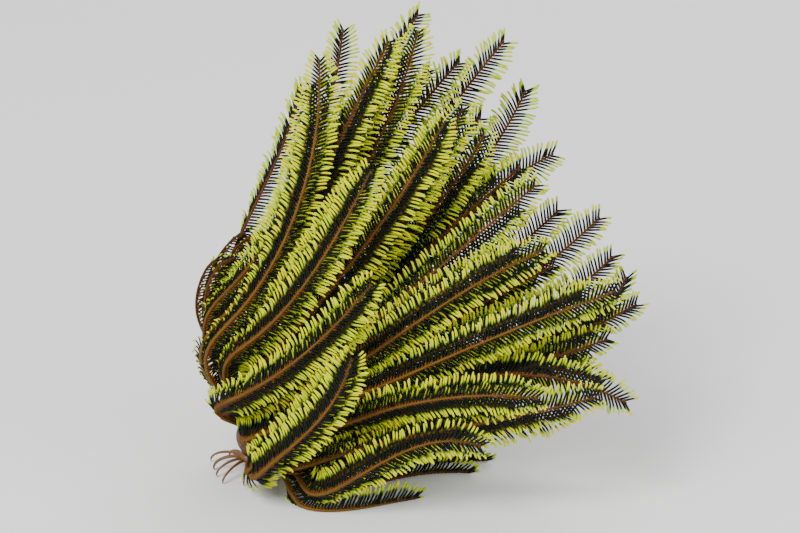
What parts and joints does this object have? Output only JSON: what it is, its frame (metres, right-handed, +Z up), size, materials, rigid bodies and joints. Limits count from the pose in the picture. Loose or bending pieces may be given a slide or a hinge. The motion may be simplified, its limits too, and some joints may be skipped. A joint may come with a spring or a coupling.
{
  "type": "bushy feather star",
  "caption": "Still model of a bushy feather star: a small crown on hooked cirri, with many feathered arms arching up and to one side.",
  "frame": {"origin": "middle of the bounding box, at the floor that the cirri and the lowest arms rest on", "axes": "+Z up, the arms arch from the crown towards +X and +Z, and the picture's viewer stands at -Y"},
  "size_m": [0.1742, 0.149, 0.1806],
  "materials": {
    "feathered_arm": "satin",
    "crown": "satin",
    "hooks": "satin",
    "soft_disc": "satin"
  },
  "bodies": {
    "root": {"arm_01": "feathered_arm", "arm_02": "feathered_arm", "arm_03": "feathered_arm", "arm_04": "feathered_arm", "arm_05": "feathered_arm", "arm_06": "feathered_arm", "arm_07": "feathered_arm", "arm_08": "feathered_arm", "arm_09": "feathered_arm", "arm_10": "feathered_arm", "arm_11": "feathered_arm", "arm_12": "feathered_arm", "arm_13": "feathered_arm", "arm_14": "feathered_arm", "arm_15": "feathered_arm", "arm_16": "feathered_arm", "arm_17": "feathered_arm", "arm_18": "feathered_arm", "arm_19": "feathered_arm", "arm_20": "feathered_arm", "arm_21": "feathered_arm", "arm_22": "feathered_arm", "arm_23": "feathered_arm", "arm_24": "feathered_arm", "arm_25": "feathered_arm", "arm_26": "feathered_arm", "arm_27": "feathered_arm", "arm_28": "feathered_arm", "arm_29": "feathered_arm", "arm_30": "feathered_arm", "arm_31": "feathered_arm", "arm_32": "feathered_arm", "arm_33": "feathered_arm", "arm_34": "feathered_arm", "arm_35": "feathered_arm", "arm_36": "feathered_arm", "arm_37": "feathered_arm", "arm_38": "feathered_arm", "arm_39": "feathered_arm", "arm_40": "feathered_arm", "arm_41": "feathered_arm", "arm_42": "feathered_arm", "arm_43": "feathered_arm", "arm_44": "feathered_arm", "arm_45": "feathered_arm", "arm_46": "feathered_arm", "arm_47": "feathered_arm", "calyx": "crown", "centrodorsal": "hooks", "disc": "soft_disc"}
  },
  "joints": []
}
